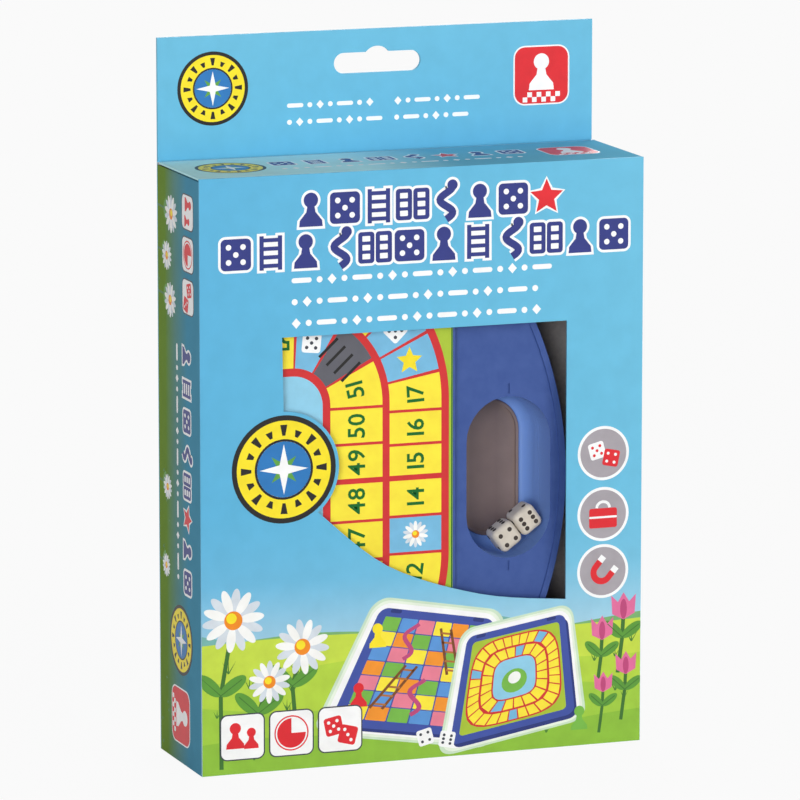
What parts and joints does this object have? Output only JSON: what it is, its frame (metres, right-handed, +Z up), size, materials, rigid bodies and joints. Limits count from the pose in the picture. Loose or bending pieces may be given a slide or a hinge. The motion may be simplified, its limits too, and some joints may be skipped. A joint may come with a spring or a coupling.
{
  "type": "boxed snakes and ladders travel board",
  "caption": "Folding blue travel game board with dice well and magnetic pawns, packed in a hang-tab window carton whose lid and flaps open as the board is drawn out.",
  "frame": {"origin": "on the ground under the middle of the carton's bottom", "axes": "+X to the right seen from the front, +Y from the window side to the back panel with the hang tab, +Z up"},
  "size_m": [0.162, 0.046, 0.25],
  "materials": {
    "carton": "printed and varnished folding boxboard",
    "case_blue": "fine textured moulding",
    "track_print": "printed sheet",
    "grid_print": "printed sheet",
    "steel": "bare sheet and wire",
    "frosted": "frosted translucent moulding",
    "ivory": "polished",
    "pawn_yellow": "moulded",
    "pawn_red": "moulded",
    "pawn_green": "moulded",
    "pawn_black": "moulded",
    "magnet": "sintered ferrite",
    "leaflet": "uncoated paper"
  },
  "bodies": {
    "carton": {"front_panel": "carton", "back_panel": "carton", "hang_tab_front_layer": "carton", "left_panel": "carton", "right_panel": "carton", "glue_flap": "carton", "bottom_panel": "carton", "bottom_flap_left": "carton", "bottom_flap_right": "carton", "bottom_inner_panel": "carton", "rules_leaflet": "leaflet"},
    "lid": {"top_lid": "carton", "tuck_flap": "carton"},
    "dust_left": {"dust_flap_left": "carton"},
    "dust_right": {"dust_flap_right": "carton"},
    "board_front": {"front_shell": "case_blue", "front_tray": "case_blue", "front_track_print": "track_print", "front_steel_sheet": "steel", "front_grid_print": "grid_print", "hinge_pin_lower": "steel", "hinge_pin_upper": "steel", "pawn_yellow": "pawn_yellow", "magnet_yellow": "magnet", "pawn_red": "pawn_red", "magnet_red": "magnet", "pawn_green": "pawn_green", "magnet_green": "magnet", "pawn_black": "pawn_black", "magnet_black": "magnet"},
    "board_rear": {"rear_shell": "case_blue", "rear_tray": "case_blue", "rear_track_print": "track_print", "rear_steel_sheet": "steel", "rear_grid_print": "grid_print", "dice_dish": "frosted"},
    "dice": {"die_1": "ivory", "die_2": "ivory"}
  },
  "joints": [
    {"name": "board_lift", "type": "slide", "parent": "carton", "child": "board_front", "axis": [0, 0, 1], "range_m": [0, 0.094]},
    {"name": "lid_crease", "type": "hinge", "parent": "carton", "child": "lid", "pos_m": [0, -0.023, 0.207], "axis": [1, 0, 0], "range_deg": [0, 266]},
    {"name": "dust_crease_left", "type": "hinge", "parent": "carton", "child": "dust_left", "pos_m": [-0.0807, 0, 0.2057], "axis": [0, -1, 0], "range_deg": [0, 182]},
    {"name": "dust_crease_right", "type": "hinge", "parent": "carton", "child": "dust_right", "pos_m": [0.0807, 0, 0.2057], "axis": [0, 1, 0], "range_deg": [0, 182]},
    {"name": "board_fold", "type": "hinge", "parent": "board_front", "child": "board_rear", "pos_m": [-0.0715, -0.006, 0.096], "axis": [0, 0, 1], "range_deg": [0, 6]},
    {"name": "dice_shake", "type": "slide", "parent": "board_front", "child": "dice", "axis": [0, 0, 1], "range_m": [0, 0.024]}
  ],
  "couplings": [
    {"joint": "lid_crease", "follows": "board_lift", "rad_per_m": 49.2},
    {"joint": "dust_crease_left", "follows": "board_lift", "rad_per_m": 33.6},
    {"joint": "dust_crease_right", "follows": "board_lift", "rad_per_m": 33.6}
  ]
}
